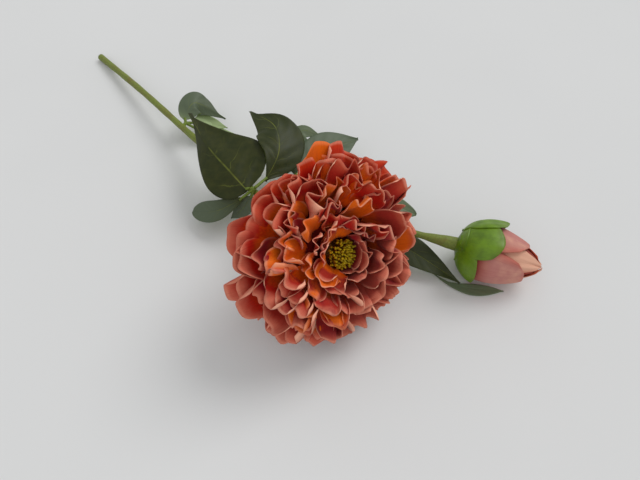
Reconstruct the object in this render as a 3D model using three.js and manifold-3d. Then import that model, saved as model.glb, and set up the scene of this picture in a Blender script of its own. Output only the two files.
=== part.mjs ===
// A cut peony lying on a surface: a stem with one side shoot, a large double bloom, one bud just
// opening, and compound leaves. Millimetres, +Z up. The origin is on the surface, at the centre of
// the peony's footprint. The bloom is tilted up from the stem, and faces -Y and +X.
import * as THREE from "three";
import { mergeVertices } from "three/addons/utils/BufferGeometryUtils.js";
import Module from "manifold-3d";

const wasm = await Module();
wasm.setup();

const GAP = 0.3; // between pieces that touch
const PETAL_THICKNESS = 0.8;
const LEAF_THICKNESS = 0.9;
const SEPAL_THICKNESS = 1.0;
const PLAIN_ENDS = [[1.1, 1.1], [1.1, 1.1]]; // of most leaflets
const LEAF_WAVE = 0.07; // of a half's width
const RIB = 0.35; // how far a midrib stands out
const REST_LEVEL = 0.05; // mid height of a petal that lies on the surface
const PRESS_HEIGHT = 2; // petals lower than this are pressed by the surface
const LANDING_HEIGHT = 6; // petals that point down start to level out at this height
const SPINE_STEPS = 24;

// The bloom: its receptacle, and the way its axis points.
const BLOOM_BASE = new THREE.Vector3(20.5, -82, 39);
const BLOOM_AXIS = new THREE.Vector3(0.498, -0.634, 0.591).normalize();

// Whorls of the bloom, outermost first. Seats are out from the axis and up it, in millimetres, and
// angles are in degrees from the axis. A petal starts at lean, opens by open, and curls at its tip.
const WHORLS = [
  { count: 10, seat: [15, 4], length: 46, width: 35, lean: 86, open: 10, curl: 18, wave: 1.6, tip: 0.2 },
  { count: 11, seat: [20, 8], length: 42, width: 29, lean: 73, open: 14, curl: 12, wave: 2.4, tip: 0.18 },
  { count: 13, seat: [24, 13], length: 37, width: 25, lean: 58, open: 10, curl: 10, wave: 2.4, tip: 0.14 },
  { count: 13, seat: [26, 19], length: 33, width: 23, lean: 46, open: 4, curl: 8, wave: 2.4, tip: 0.12 },
  { count: 13, seat: [25, 25], length: 29, width: 20, lean: 35, open: 2, curl: 6, wave: 2.4, tip: 0.12 },
  { count: 12, seat: [21, 29], length: 25, width: 18, lean: 25, open: 0, curl: 6, wave: 2.2, tip: 0.12 },
  { count: 10, seat: [16, 29], length: 20, width: 15, lean: 14, open: 0, curl: 0, wave: 1.8, tip: 0.1 },
  { count: 7, seat: [12, 25], length: 17, width: 12, lean: 12, open: 0, curl: 0, wave: 1.2, tip: 0.08 },
];
const CORE_PROFILE = [
  [0, 0.4], [11, 1], [19, 4], [25, 10], [27, 18], [25, 26], [20, 30], [14, 30], [10, 23], [0, 21],
];
const STAMEN_SEAT = 21;
const STAMEN_TOP = 40;
const STAMEN_RADIUS = 9;
const STAMEN_COUNT = 16;

// The bloom isn't even. Each side, an azimuth in radians, has petals that are longer or shorter by
// a share of their length, and the inner petals lean over towards one side, by some degrees.
const LONG_SIDES = [
  [0.95, 0.13], [1.9, 0.04], [2.65, -0.12], [3.1, -0.12], [3.65, 0.17], [4.5, 0.05], [5.4, -0.09],
];
const HEART_SIDE = 3.3;
const HEART_LEAN = 28;
const HEART_FROM = 4; // the first whorl that leans

// The stem, from its cut end to the bloom, and the side shoot to the bud.
const STEM_POINTS = [
  [-171.5, 146.6, 2.4], [-124, 92.5, 11], [-80, 39, 19.5], [-26, -26, 29.5], [2, -58, 31.5],
  [18, -79, 36],
];
const STEM_RADIUS = { cut: 2.7, bloom: 2.3 };
const SHOOT_POINTS = [
  [-14, -40, 30.5], [4, -46, 26], [32, -47, 22], [62, -53, 22], [88, -62.5, 23], [118.3, -69.4, 19.3],
];
const SHOOT_RADIUS = { fork: 1.9, neck: 2.4, bud: 4.8 };
const NECK_PLACE = 0.8; // where the shoot starts to widen towards the bud

// The bud: where its shoot ends, and the way its axis points.
const BUD_BASE = new THREE.Vector3(117.8, -69.2, 19.3);
const BUD_AXIS = new THREE.Vector3(52.3, -17.9, -1).normalize();
const BUD_LENGTH = 58;
const BUD_RADIUS = 19;
const BUD_CORE_DEPTH = 3; // below the petals' mid surface

// Leaves. A stalk runs from hold, inside the stem, to joint, and the leaflets branch off there. A
// leaflet has a midrib through the points of its path, from base to tip, and a direction its upper
// face looks in. Its halves lie to the left and right of the midrib as seen from above with its tip
// up: each has a width, an angle by which it is raised, and a place along the midrib, from 0 to 1,
// where it is widest. Ends says how pointed each half is towards its base and its tip: a half with
// 1 is plain, with less it is blunt and with more it is drawn out.
const LEAVES = {
  leaf_front: {
    hold: [-23, -29.6, 30],
    joint: [-20, -34, 36],
    leaflets: [
      {
        path: [[-24.7, -35.6, 35], [-36.4, -23.7, 40], [-54.8, 0.8, 40], [-74.3, 42.7, 33]],
        face: [-0.1, -0.5, 0.86], halves: [19.5, 29.6], raise: [-14, -26], widest: [0.22, 0.26],
        ends: [[1.1, 1.9], [0.92, 1.46]],
      },
      {
        path: [[-13, -27, 35], [-4, -5.9, 43], [-7.5, 14.7, 47], [-26.6, 32.7, 44]],
        face: [0.1, -0.5, 0.86], halves: [15.5, 18.5], raise: [4, -22], widest: [0.55, 0.45],
        ends: [[1.1, 1.1], [1.2, 2.2]],
      },
      {
        path: [[-28, -39, 31], [-48, -41.5, 20], [-67, -33.5, 9]],
        face: [-0.1, -0.5, 0.86], halves: [7.5, 8], raise: [6, 10], widest: [0.6, 0.6],
        ends: [[0.5, 0.5], [0.5, 0.5]], small: true,
      },
      {
        path: [[-22, -36.5, 31], [-29, -41, 22], [-38.4, -41, 11]],
        face: [0.1, -0.6, 0.8], halves: [6, 6], raise: [6, 6], widest: [0.4, 0.4], small: true,
      },
    ],
  },
  leaf_lower: {
    hold: [-82, 41.4, 19],
    joint: [-80.5, 47.5, 18],
    leaflets: [
      {
        path: [[-82, 50, 19], [-75, 61, 26], [-67, 64, 20.5], [-51.3, 60, 10]],
        face: [0, -0.5, 0.86], halves: [10, 10], raise: [-20, -10], widest: [0.38, 0.35],
        ends: [[0.6, 2.4], [1.1, 1.1]],
      },
      {
        path: [[-76, 51, 15], [-64, 56, 9], [-49.6, 54, 6]],
        face: [0, -0.4, 0.9], halves: [7, 6], raise: [4, 4], widest: [0.35, 0.35], small: true,
      },
      {
        path: [[-75, 47, 13], [-58, 47.5, 4], [-37.7, 46.9, 2.5]],
        face: [0, -0.2, 0.98], halves: [10, 6], raise: [4, 4], widest: [0.35, 0.35], small: true,
      },
    ],
  },
  leaf_upper: {
    hold: [-4.5, -49.8, 31.6],
    joint: [10, -18, 24],
    leaflets: [
      {
        path: [[8, -14, 25], [4, 8, 29], [12, 24, 33], [26, 22, 29]],
        face: [0, -0.3, 0.95], halves: [8, 10], raise: [-6, -14], widest: [0.45, 0.5], small: true,
      },
      {
        path: [[12, -12, 24], [30, 10, 26], [54.1, 28.1, 20]],
        face: [0, -0.4, 0.9], halves: [16, 15], raise: [4, -16], widest: [0.45, 0.45],
      },
      {
        path: [[18, -22, 24], [50, -26, 26], [92.7, -42.5, 17]],
        face: [0, -0.2, 0.98], halves: [10, 10], raise: [6, 6], widest: [0.4, 0.4],
        ends: [[1.1, 0.5], [1.1, 0.5]], small: true,
      },
    ],
  },
  leaf_bud: {
    hold: [58, -52, 21.9],
    joint: [63, -53, 16],
    leaflets: [
      {
        path: [[68, -57, 13], [88, -70, 12], [103, -79.5, 8.5], [119.6, -90.4, 3.5]],
        face: [0, -0.3, 0.95], halves: [10, 10], raise: [10, 6], widest: [0.35, 0.35], small: true,
      },
      {
        path: [[70, -56, 11], [92, -73, 5], [114, -89.5, 1.3], [149, -95, 0.8]],
        face: [0, -0.1, 1], halves: [3.5, 5.5], raise: [4, 4], widest: [0.78, 0.78],
        ends: [[3, 1.1], [3, 1.1]], small: true,
      },
    ],
  },
};

const MATERIALS = {
  petal: { color: 0xc5543c, roughness: 0.7, metalness: 0 },
  stamen: { color: 0xb59a12, roughness: 0.7, metalness: 0 },
  budPetal: { color: 0xb9767a, roughness: 0.7, metalness: 0 },
  sepal: { color: 0x5f8a22, roughness: 0.6, metalness: 0 },
  leaf: { color: 0x3a4a2c, roughness: 0.5, metalness: 0 },
  stem: { color: 0x75792f, roughness: 0.55, metalness: 0 },
};

// ---- Small helpers ----

const vector = (values) => new THREE.Vector3(...values);
const radians = THREE.MathUtils.degToRad;
const smooth = (x) => THREE.MathUtils.smoothstep(x, 0, 1);

// A repeatable draw from 0 to 1 for item i and channel k, alike in any language.
function draw(i, k) {
  const s = Math.sin(i * 12.9898 + k * 78.233) * 43758.5453;
  return s - Math.floor(s);
}
const jitter = (i, k) => 2 * draw(i, k) - 1;

// Evenly spaced numbers, with both ends.
const stations = (from, to, cells) =>
  Array.from({ length: cells + 1 }, (_, i) => THREE.MathUtils.lerp(from, to, i / cells));

// ---- Solids ----

function solidOf(geometry) {
  const g = geometry.clone();
  g.deleteAttribute("normal");
  g.deleteAttribute("uv");
  const merged = mergeVertices(g, 1e-4);
  return new wasm.Manifold(
    new wasm.Mesh({
      numProp: 3,
      vertProperties: merged.attributes.position.array,
      triVerts: new Uint32Array(merged.index.array),
    }),
  );
}

function geometryOf(solid) {
  const mesh = solid.getMesh();
  const positions = new Float32Array(mesh.numVert * 3);
  for (let i = 0; i < mesh.numVert; i++) {
    positions.set(mesh.vertProperties.subarray(i * mesh.numProp, i * mesh.numProp + 3), i * 3);
  }
  const geometry = new THREE.BufferGeometry();
  geometry.setAttribute("position", new THREE.BufferAttribute(positions, 3));
  geometry.setIndex(new THREE.BufferAttribute(new Uint32Array(mesh.triVerts), 1));
  geometry.computeVertexNormals();
  return geometry;
}

// The largest body of a union, which drops loose scraps and fills sealed hollows.
function fuse(solids) {
  const bodies = solids.reduce((all, solid) => all.add(solid)).decompose();
  return bodies.reduce((best, body) => (body.volume() > best.volume() ? body : best));
}

// What lies above the surface, so that a piece that rests has a flat spot.
function cutAtSurface(solid) {
  const ground = new THREE.BoxGeometry(1000, 1000, 100).translate(0, 0, -50);
  return fuse([solid.subtract(solidOf(ground))]);
}

// A closed blade about the mid surface that point(u, v) gives, u from -1 to 1 and v from 0 to 1.
function blade(point, stationsU, stationsV, thickness, ridge = 0) {
  const rows = stationsV.map((v) => stationsU.map((u) => point(u, v)));
  const across = stationsU.length;
  const down = stationsV.length;
  const { clamp } = THREE.MathUtils;
  const at = (j, i) => rows[clamp(j, 0, down - 1)][clamp(i, 0, across - 1)];
  const positions = [];
  for (const side of [1, -1]) {
    for (let j = 0; j < down; j++) {
      for (let i = 0; i < across; i++) {
        const du = at(j, i + 1).clone().sub(at(j, i - 1));
        const dv = at(j + 1, i).clone().sub(at(j - 1, i));
        const rise = thickness / 2 + (stationsU[i] === 0 ? ridge : 0);
        positions.push(...du.cross(dv).normalize().multiplyScalar(side * rise).add(at(j, i)).toArray());
      }
    }
  }
  const index = [];
  const upper = (j, i) => j * across + i;
  const lower = (j, i) => (down + j) * across + i;
  for (let j = 0; j < down - 1; j++) {
    for (let i = 0; i < across - 1; i++) {
      index.push(upper(j, i), upper(j, i + 1), upper(j + 1, i + 1));
      index.push(upper(j, i), upper(j + 1, i + 1), upper(j + 1, i));
      index.push(lower(j, i), lower(j + 1, i + 1), lower(j, i + 1));
      index.push(lower(j, i), lower(j + 1, i), lower(j + 1, i + 1));
    }
  }
  const wall = (a, b) => {
    index.push(upper(...a), lower(...a), lower(...b));
    index.push(upper(...a), lower(...b), upper(...b));
  };
  for (let i = 0; i < across - 1; i++) {
    wall([0, i], [0, i + 1]);
    wall([down - 1, i + 1], [down - 1, i]);
  }
  for (let j = 0; j < down - 1; j++) {
    wall([j + 1, 0], [j, 0]);
    wall([j, across - 1], [j + 1, across - 1]);
  }
  const geometry = new THREE.BufferGeometry();
  geometry.setAttribute("position", new THREE.Float32BufferAttribute(positions, 3));
  geometry.setIndex(index);
  return solidOf(geometry);
}

// A closed round tube along a curve. Each ring is a place on the curve, from 0 to 1, and a radius.
function tube(curve, rings, sides) {
  const positions = [];
  for (const [t, radius] of rings) {
    const centre = curve.getPointAt(t);
    const tangent = curve.getTangentAt(t);
    const across = new THREE.Vector3(0, 0, 1).cross(tangent).normalize();
    const upward = tangent.clone().cross(across);
    for (let i = 0; i < sides; i++) {
      const angle = (2 * Math.PI * i) / sides;
      const out = across.clone().multiplyScalar(Math.cos(angle)).addScaledVector(upward, Math.sin(angle));
      positions.push(...out.multiplyScalar(radius).add(centre).toArray());
    }
  }
  const last = rings.length - 1;
  positions.push(...curve.getPointAt(rings[0][0]).toArray());
  positions.push(...curve.getPointAt(rings[last][0]).toArray());
  const start = rings.length * sides;
  const index = [];
  for (let i = 0; i < sides; i++) {
    const next = (i + 1) % sides;
    for (let j = 0; j < last; j++) {
      const a = j * sides + i;
      const b = j * sides + next;
      index.push(a, b, b + sides, a, b + sides, a + sides);
    }
    index.push(start, next, i);
    index.push(start + 1, last * sides + i, last * sides + next);
  }
  const geometry = new THREE.BufferGeometry();
  geometry.setAttribute("position", new THREE.Float32BufferAttribute(positions, 3));
  geometry.setIndex(index);
  return solidOf(geometry);
}

// Evenly spaced rings whose radius goes from first to last.
function taper(first, last, steps) {
  return stations(0, 1, steps).map((t) => [t, THREE.MathUtils.lerp(first, last, t)]);
}

function lathe(profile, segments) {
  const points = profile.map(([r, z]) => new THREE.Vector2(r, z));
  const turned = new THREE.LatheGeometry(points, segments);
  return solidOf(turned.rotateX(Math.PI / 2));
}

// ---- The bloom ----

const toBloom = new THREE.Matrix4().compose(
  BLOOM_BASE,
  new THREE.Quaternion().setFromUnitVectors(new THREE.Vector3(0, 0, 1), BLOOM_AXIS),
  new THREE.Vector3(1, 1, 1),
);

// How long the petals on one side of the bloom are, as a share of their whorl's length.
function unevenness(azimuth) {
  const near = (side) => Math.max(0, Math.cos(azimuth - side)) ** 8;
  return LONG_SIDES.reduce((sum, [side, grown]) => sum + grown * near(side), 1);
}

// Every petal of the bloom, with its own small variations.
function bloomPetals() {
  const petals = [];
  WHORLS.forEach((whorl, w) => {
    const heartLean = w < HEART_FROM ? 0 : HEART_LEAN;
    for (let n = 0; n < whorl.count; n++) {
      const i = petals.length + 1;
      const azimuth = (2 * Math.PI * (n + 0.5 * (w % 2) + 0.22 * jitter(i, 1))) / whorl.count + 0.7 * w;
      petals.push({
        ...whorl,
        azimuth,
        length: whorl.length * (unevenness(azimuth) + 0.07 * jitter(i, 2)),
        width: whorl.width * (1 + 0.12 * jitter(i, 3)),
        lean: whorl.lean + 12 * jitter(i, 4) + heartLean * Math.cos(azimuth - HEART_SIDE),
        curl: whorl.curl + 22 * jitter(i, 5),
        twist: radians(24 * jitter(i, 6)),
        phase: 2 * Math.PI * draw(i, 7),
        cup: 0.4 + 0.25 * jitter(i, 8),
      });
    }
  });
  return petals;
}

// The middle line of a petal in the plane of the axis: distance out, height and lean at each step.
// Where it would run into the surface, it lands on it and then lies along it.
function petalSpine(petal) {
  const step = petal.length / SPINE_STEPS;
  const out = new THREE.Vector3(Math.cos(petal.azimuth), Math.sin(petal.azimuth), 0);
  const drop = out.transformDirection(toBloom).z;
  const reach = Math.hypot(drop, BLOOM_AXIS.z);
  const level = Math.atan2(drop, BLOOM_AXIS.z);
  const spine = [];
  let r = petal.seat[0];
  let z = petal.seat[1];
  for (let k = 0; k <= SPINE_STEPS; k++) {
    const v = k / SPINE_STEPS;
    const free = radians(petal.lean + petal.open * v + petal.curl * smooth((v - 0.55) / 0.45));
    const height = BLOOM_BASE.z + r * drop + z * BLOOM_AXIS.z;
    const steepest = -THREE.MathUtils.clamp((height - REST_LEVEL) / LANDING_HEIGHT, 0, 1);
    const lean = Math.min(free, level + Math.acos(THREE.MathUtils.clamp(steepest / reach, -1, 1)));
    spine.push({ r, z, lean });
    r += step * Math.sin(lean);
    z += step * Math.cos(lean);
  }
  return spine;
}

// Soft contact with the surface: heights fade out towards it and never go through it.
function pressed(point) {
  if (point.z < PRESS_HEIGHT) {
    const room = PRESS_HEIGHT - REST_LEVEL;
    point.z = REST_LEVEL + room * Math.exp((point.z - PRESS_HEIGHT) / room);
  }
  return point;
}

function petalSurface(petal) {
  const spine = petalSpine(petal);
  const out = new THREE.Vector3(Math.cos(petal.azimuth), Math.sin(petal.azimuth), 0);
  const side = new THREE.Vector3(-out.y, out.x, 0);
  const up = new THREE.Vector3(0, 0, 1);
  return (u, v) => {
    const along = SPINE_STEPS * v * (1 - petal.tip * Math.abs(u) ** 2.4);
    const k = Math.min(Math.floor(along), SPINE_STEPS - 1);
    const f = along - k;
    const r = THREE.MathUtils.lerp(spine[k].r, spine[k + 1].r, f);
    const z = THREE.MathUtils.lerp(spine[k].z, spine[k + 1].z, f);
    const lean = THREE.MathUtils.lerp(spine[k].lean, spine[k + 1].lean, f);
    const inner = out.clone().multiplyScalar(-Math.cos(lean)).addScaledVector(up, Math.sin(lean));
    const half = (petal.width / 2) * (0.3 + 0.7 * Math.sin((Math.PI / 2) * Math.min(1, v / 0.62)));
    const wave = petal.wave * v * v * Math.sin(Math.PI * 1.5 * u + petal.phase);
    const lift = half * petal.cup * u * u * (1 - 0.8 * v) + wave;
    const turn = petal.twist * v;
    const x = half * u * (1 - 1.5 * petal.tip * smooth((v - 0.62) / 0.38));
    const point = out.clone().multiplyScalar(r).addScaledVector(up, z);
    point.addScaledVector(side, x * Math.cos(turn) - lift * Math.sin(turn));
    point.addScaledVector(inner, x * Math.sin(turn) + lift * Math.cos(turn));
    return pressed(point.applyMatrix4(toBloom));
  };
}

const PETAL_STATIONS = [0, 0.4, 0.75, 1];

function bloomSolid(clearances) {
  const petals = bloomPetals().map((petal) =>
    blade(petalSurface(petal), stations(-1, 1, petal.width > 30 ? 3 : 2), PETAL_STATIONS, PETAL_THICKNESS),
  );
  const core = lathe(CORE_PROFILE, 12).transform([...toBloom.elements]);
  return cutAtSurface(clearances.reduce((rest, solid) => rest.subtract(solid), fuse([core, ...petals])));
}

// A stamen is a thin stalk with a fat anther at its end.
const STAMEN_RINGS = [[0, 0.6], [0.78, 0.6], [0.88, 1.4], [1, 0.9]];

// A low dome with stamens standing out of it.
function stamenSolid(grow) {
  const seat = STAMEN_SEAT + GAP - grow;
  const dome = lathe(
    [
      [0, seat], [STAMEN_RADIUS - 1.5 + grow, seat], [STAMEN_RADIUS - 2 + grow, seat + 4 + grow],
      [0, seat + 7 + grow],
    ],
    12,
  );
  const stamens = [];
  for (let n = 0; n < STAMEN_COUNT; n++) {
    const reach = Math.sqrt((n + 0.5) / STAMEN_COUNT);
    const azimuth = n * 2.39996;
    const foot = vector([
      0.55 * STAMEN_RADIUS * reach * Math.cos(azimuth),
      0.55 * STAMEN_RADIUS * reach * Math.sin(azimuth),
      seat + 2,
    ]);
    const top = STAMEN_TOP - 5 * reach * reach + 1.2 * jitter(n, 21);
    const head = vector([
      0.92 * STAMEN_RADIUS * reach * Math.cos(azimuth),
      0.92 * STAMEN_RADIUS * reach * Math.sin(azimuth),
      top,
    ]);
    stamens.push(tube(new THREE.LineCurve3(foot, head), STAMEN_RINGS, 4));
  }
  return fuse([dome, ...stamens]).transform([...toBloom.elements]);
}

function calyxSolid() {
  const knob = lathe([[0, -13], [3.9, -13], [5, -9], [8.5, -3.5], [10.5, 0.1 - GAP], [0, 0.4 - GAP]], 12);
  const sepals = [];
  for (let n = 0; n < 5; n++) {
    const sepal = {
      azimuth: (2 * Math.PI * (n + 0.15 * jitter(n, 31))) / 5,
      seat: [6, -2.5], length: 22 + 4 * jitter(n, 32), width: 20, lean: 95, open: 10, curl: 14,
      wave: 0.4, twist: 0, phase: n, cup: 0.25, tip: 0.3,
    };
    sepals.push(blade(petalSurface(sepal), [-1, 0, 1], [0, 0.5, 1], SEPAL_THICKNESS));
  }
  return fuse([knob.transform([...toBloom.elements]), ...sepals]);
}

// The room that the stamens need among the petals.
const stamenRoom = lathe(
  [
    [0, STAMEN_SEAT], [STAMEN_RADIUS - 1, STAMEN_SEAT], [STAMEN_RADIUS + 1.2, STAMEN_TOP - 6],
    [STAMEN_RADIUS + 0.5, STAMEN_TOP], [0, STAMEN_TOP + 3],
  ],
  16,
).transform([...toBloom.elements]);

// ---- The stem ----

// A smooth curve through the points, with its far end carried on by grow.
function stemCurve(points, grow) {
  const through = points.map(vector);
  const end = through.at(-1);
  end.addScaledVector(end.clone().sub(through.at(-2)).normalize(), grow);
  return new THREE.CatmullRomCurve3(through, false, "centripetal");
}

// The stem with its side shoot, thicker and longer all round by grow.
function stemSolid(grow) {
  const mainRings = taper(STEM_RADIUS.cut + grow, STEM_RADIUS.bloom + grow, 18);
  const shootRings = stations(0, 1, 14).map((t) => {
    const widening = (SHOOT_RADIUS.bud - SHOOT_RADIUS.neck) * smooth((t - NECK_PLACE) / (1 - NECK_PLACE));
    return [t, THREE.MathUtils.lerp(SHOOT_RADIUS.fork, SHOOT_RADIUS.neck, t) + widening + grow];
  });
  const main = tube(stemCurve(STEM_POINTS, grow), mainRings, 8);
  const shoot = tube(stemCurve(SHOOT_POINTS, grow), shootRings, 8);
  return fuse([main, shoot]);
}

// ---- Leaves ----

// The width of half a leaflet at v from its base, as a share of its widest.
function leafletProfile(v, widest, ends) {
  const stretch = Math.log(0.5) / Math.log(widest);
  return Math.max(0.05, Math.sin(Math.PI * v ** stretch) ** ends[v < widest ? 0 : 1]);
}

function leafletSurface(leaflet) {
  const midrib = new THREE.CatmullRomCurve3(leaflet.path.map(vector), false, "centripetal");
  const face = vector(leaflet.face).normalize();
  const ends = leaflet.ends ?? PLAIN_ENDS;
  return (u, v) => {
    const tangent = midrib.getTangentAt(v);
    const side = tangent.clone().cross(face).normalize();
    const normal = side.clone().cross(tangent);
    const right = u > 0 ? 1 : 0;
    const half = leaflet.halves[right] * leafletProfile(v, leaflet.widest[right], ends[right]);
    const tilt = Math.tan(radians(leaflet.raise[right]));
    const wave = LEAF_WAVE * leaflet.halves[right] * Math.sin(8 * v + 2 * right) * u * u;
    const lift = half * Math.abs(u) * tilt * (1 - 0.3 * Math.abs(u)) + wave;
    return midrib.getPointAt(v).addScaledVector(side, half * u).addScaledVector(normal, lift);
  };
}

function leafSolid(leaf, clearances) {
  const joint = vector(leaf.joint);
  const hold = vector(leaf.hold);
  const stalks = [tube(new THREE.LineCurve3(hold, joint), taper(1.6, 1.5, 1), 6)];
  const blades = leaf.leaflets.map((leaflet) => {
    const onto = vector(leaflet.path[0]).lerp(vector(leaflet.path[1]), 0.1);
    stalks.push(tube(new THREE.LineCurve3(joint, onto), taper(1.3, 1.1, 1), 6));
    const across = leaflet.small ? [-1, 0, 1] : [-1, -0.55, -0.08, 0, 0.08, 0.55, 1];
    const along = stations(0, 1, leaflet.small ? 5 : 7);
    return blade(leafletSurface(leaflet), across, along, LEAF_THICKNESS, RIB);
  });
  const whole = fuse([...stalks, ...blades]);
  return cutAtSurface(fuse([clearances.reduce((rest, solid) => rest.subtract(solid), whole)]));
}

// ---- The bud ----

const toBud = new THREE.Matrix4().compose(
  BUD_BASE,
  new THREE.Quaternion().setFromUnitVectors(new THREE.Vector3(0, 0, 1), BUD_AXIS),
  new THREE.Vector3(1, 1, 1),
);

// The bud's radius at height z above its base.
function budRadius(z) {
  const t = THREE.MathUtils.clamp(z / BUD_LENGTH, 0.001, 0.999);
  return BUD_RADIUS * Math.sin(Math.PI * t ** 0.64) ** 0.58;
}

// A petal or sepal wrapped round the bud: one side lies close and the other stands off.
function wrapSurface(wrap) {
  return (u, v) => {
    const z = wrap.from + (wrap.to - wrap.from) * v * (1 - wrap.round * u * u);
    const fullness = Math.sin((Math.PI / 2) * Math.min(1, 0.25 + v / 0.5)) * (1 - 0.25 * v ** 3);
    const angle = radians(wrap.azimuth + wrap.spread * fullness * u);
    const standOff = THREE.MathUtils.lerp(wrap.close, wrap.free, (u + 1) / 2);
    const r = budRadius(Math.max(z, 1.5)) + standOff * (0.4 + v);
    return pressed(new THREE.Vector3(r * Math.cos(angle), r * Math.sin(angle), z).applyMatrix4(toBud));
  };
}

const BUD_PETALS = [
  { azimuth: 250, spread: 64, from: 7, to: 46, close: -0.6, free: 1.0, round: 0.16 },
  { azimuth: 10, spread: 64, from: 7, to: 50, close: -0.6, free: 1.0, round: 0.14 },
  { azimuth: 130, spread: 64, from: 7, to: 45, close: -0.6, free: 1.0, round: 0.18 },
  { azimuth: 310, spread: 48, from: 16, to: 57, close: -1.9, free: -1.2, round: 0.08 },
  { azimuth: 70, spread: 48, from: 16, to: 56, close: -1.9, free: -1.2, round: 0.1 },
  { azimuth: 190, spread: 48, from: 16, to: 56, close: -1.9, free: -1.2, round: 0.1 },
];
const BUD_SEPALS = [
  { azimuth: 176, spread: 41, from: 0, to: 28, close: 1.9, free: 2.6, round: 0.2 },
  { azimuth: 106, spread: 48, from: 0, to: 29, close: 2.4, free: 3.2, round: 0.1 },
  { azimuth: 258, spread: 56, from: 0, to: 16, close: 2.1, free: 2.6, round: 0.12 },
  { azimuth: 20, spread: 54, from: 0, to: 27, close: 2.0, free: 2.4, round: 0.3 },
];

function budPetalSolid(clearance) {
  const profile = [[0, 3.2]];
  for (let z = 5; z < BUD_LENGTH - 4; z += 8) {
    profile.push([budRadius(z) - BUD_CORE_DEPTH, z]);
  }
  profile.push([0, BUD_LENGTH - 3]);
  const core = lathe(profile, 10).transform([...toBud.elements]);
  const petals = BUD_PETALS.map((wrap) =>
    blade(wrapSurface(wrap), stations(-1, 1, wrap.from < 10 ? 3 : 2), stations(0, 1, 3), PETAL_THICKNESS),
  );
  return cutAtSurface(fuse([core, ...petals]).subtract(clearance));
}

function budSepalSolid(grow) {
  const profile = [
    [0, -1 - grow], [4.4 + grow, -1 - grow], [10 + grow, 1 - grow], [budRadius(5) + 2.4, 5 + grow],
    [0, 2.4 + grow],
  ];
  const foot = lathe(profile, 12).transform([...toBud.elements]);
  const sepals = BUD_SEPALS.map((wrap) => {
    const grown = { ...wrap, spread: wrap.spread + 5 * grow, to: wrap.to + 3 * grow };
    return blade(wrapSurface(grown), stations(-1, 1, 3), [0.02, 0.3, 0.65, 1], SEPAL_THICKNESS + 2 * grow);
  });
  return fuse([foot, ...sepals]);
}

// ---- The whole peony ----

function piece(name, solid, material) {
  const made = new THREE.Mesh(geometryOf(solid), new THREE.MeshStandardMaterial(MATERIALS[material]));
  made.name = name;
  return made;
}

const stem = cutAtSurface(stemSolid(0));
const nearStem = stemSolid(GAP);
const calyx = calyxSolid().subtract(nearStem);
const peony = new THREE.Group();
peony.add(
  piece("bloom_petals", bloomSolid([nearStem, stamenRoom]), "petal"),
  piece("bloom_stamens", stamenSolid(0), "stamen"),
  piece("bloom_calyx", calyx, "sepal"),
  piece("bud_petals", budPetalSolid(budSepalSolid(GAP)), "budPetal"),
  piece("bud_sepals", cutAtSurface(budSepalSolid(0).subtract(nearStem)), "sepal"),
  piece("stem", stem, "stem"),
);
for (const [name, leaf] of Object.entries(LEAVES)) {
  peony.add(piece(name, leafSolid(leaf, [nearStem]), "leaf"));
}

export default peony;
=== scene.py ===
"""The looks of a cut peony that lies on a surface.

Petals, leaves, stem, bud and stamens are built again with fine, thin surfaces on the same lines as
the solids. Sizes are in millimetres in the part's frame, and become metres in make_piece. Azimuths
round the bloom are in radians, and the other angles are in degrees.
"""
import math

import bpy
import numpy as np
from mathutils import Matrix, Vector


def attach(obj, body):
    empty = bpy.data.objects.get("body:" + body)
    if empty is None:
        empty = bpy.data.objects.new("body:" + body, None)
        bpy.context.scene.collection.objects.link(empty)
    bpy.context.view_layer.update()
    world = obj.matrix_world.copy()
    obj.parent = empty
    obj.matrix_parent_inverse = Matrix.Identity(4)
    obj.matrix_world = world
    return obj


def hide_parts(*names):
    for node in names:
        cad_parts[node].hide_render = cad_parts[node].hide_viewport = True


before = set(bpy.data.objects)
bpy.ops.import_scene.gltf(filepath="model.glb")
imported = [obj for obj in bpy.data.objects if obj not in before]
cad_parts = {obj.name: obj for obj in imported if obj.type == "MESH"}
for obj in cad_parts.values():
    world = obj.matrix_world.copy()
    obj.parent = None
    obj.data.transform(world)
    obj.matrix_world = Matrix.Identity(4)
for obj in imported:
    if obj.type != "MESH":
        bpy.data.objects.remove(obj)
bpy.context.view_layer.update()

# ---- The surface that the flower lies on ----

REST_LEVEL = 0.05
PRESS_HEIGHT = 2.0
LANDING_HEIGHT = 6.0
LEAF_CLEARANCE = 0.4

# ---- The bloom, with the places and whorls of the solids ----

BLOOM_BASE = (20.5, -82, 39)
BLOOM_AXIS = (0.498, -0.634, 0.591)
SPINE_STEPS = 24
WHORL_TURN = 0.7

# count, seat out and up, length, width, lean, opening, curl, wave, tip
WHORLS = [
    (10, 15, 4, 46, 35, 86, 10, 18, 1.6, 0.2),
    (11, 20, 8, 42, 29, 73, 14, 12, 2.4, 0.18),
    (13, 24, 13, 37, 25, 58, 10, 10, 2.4, 0.14),
    (13, 26, 19, 33, 23, 46, 4, 8, 2.4, 0.12),
    (13, 25, 25, 29, 20, 35, 2, 6, 2.4, 0.12),
    (12, 21, 29, 25, 18, 25, 0, 6, 2.2, 0.12),
    (10, 16, 29, 20, 15, 14, 0, 0, 1.8, 0.1),
    (7, 12, 25, 17, 12, 12, 0, 0, 1.2, 0.08),
]
CORE_PROFILE = [
    (0, 0.4), (11, 1), (19, 4), (25, 10), (27, 18), (25, 26), (20, 30), (14, 30), (10, 23), (0, 21),
]

# How far single petals stray to either side of the values of their whorl. azimuth is a share of
# the space between petals, and length and width are shares too.
STRAY = dict(azimuth=0.22, length=0.07, width=0.12, lean=12, curl=22, twist=24, cup=0.25)
MEAN_CUP = 0.4

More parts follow.
